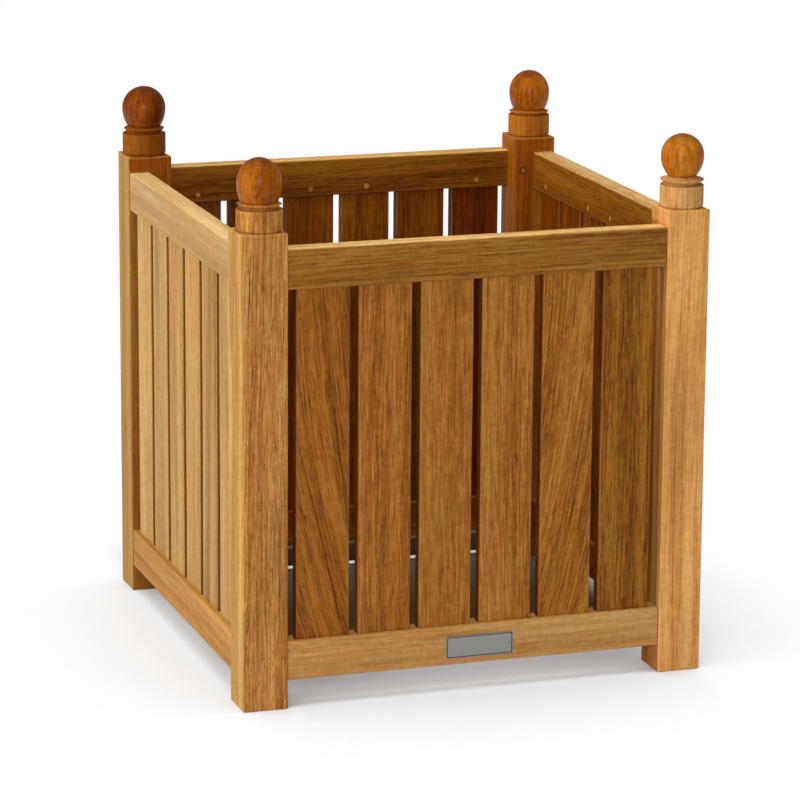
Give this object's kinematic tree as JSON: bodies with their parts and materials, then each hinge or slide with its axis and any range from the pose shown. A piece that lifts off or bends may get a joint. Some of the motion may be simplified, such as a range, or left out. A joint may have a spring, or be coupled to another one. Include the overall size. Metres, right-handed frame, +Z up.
{
  "type": "versailles planter",
  "caption": "Square open-bottomed garden planter: upright teak slats housed between rails, on square corner posts with turned heads and ball finials.",
  "frame": {"origin": "on the ground at the middle of the planter", "axes": "+Z up through the middle of the planter, -Y towards the front, the side whose bottom rail carries the plate in the picture, +X to the right as seen from the front"},
  "size_m": [0.508, 0.508, 0.58],
  "materials": {
    "post": "planed teak, bare, golden and slightly weathered",
    "rail": "planed teak, bare",
    "slat": "planed teak, bare, a little darker than the posts",
    "ball": "turned teak, polished and reddish brown",
    "peg": "cut dowel ends, bare"
  },
  "bodies": {
    "root": {"post_front_left": "post", "ball_finial_front_left": "ball", "tenon_peg_front_left": "peg", "post_front_right": "post", "ball_finial_front_right": "ball", "tenon_peg_front_right": "peg", "post_back_left": "post", "ball_finial_back_left": "ball", "tenon_peg_back_left": "peg", "post_back_right": "post", "ball_finial_back_right": "ball", "tenon_peg_back_right": "peg", "top_rail_front": "rail", "bottom_rail_front": "rail", "slat_front_1": "slat", "slat_pin_front_1": "peg", "slat_front_2": "slat", "slat_front_3": "slat", "slat_pin_front_3": "peg", "slat_front_4": "slat", "slat_pin_front_4": "peg", "slat_front_5": "slat", "slat_front_6": "slat", "slat_pin_front_6": "peg", "top_rail_right": "rail", "bottom_rail_right": "rail", "slat_right_1": "slat", "slat_pin_right_1": "peg", "slat_right_2": "slat", "slat_right_3": "slat", "slat_pin_right_3": "peg", "slat_right_4": "slat", "slat_pin_right_4": "peg", "slat_right_5": "slat", "slat_right_6": "slat", "slat_pin_right_6": "peg", "top_rail_back": "rail", "bottom_rail_back": "rail", "slat_back_1": "slat", "slat_pin_back_1": "peg", "slat_back_2": "slat", "slat_back_3": "slat", "slat_pin_back_3": "peg", "slat_back_4": "slat", "slat_pin_back_4": "peg", "slat_back_5": "slat", "slat_back_6": "slat", "slat_pin_back_6": "peg", "top_rail_left": "rail", "bottom_rail_left": "rail", "slat_left_1": "slat", "slat_pin_left_1": "peg", "slat_left_2": "slat", "slat_left_3": "slat", "slat_pin_left_3": "peg", "slat_left_4": "slat", "slat_pin_left_4": "peg", "slat_left_5": "slat", "slat_left_6": "slat", "slat_pin_left_6": "peg"}
  },
  "joints": []
}
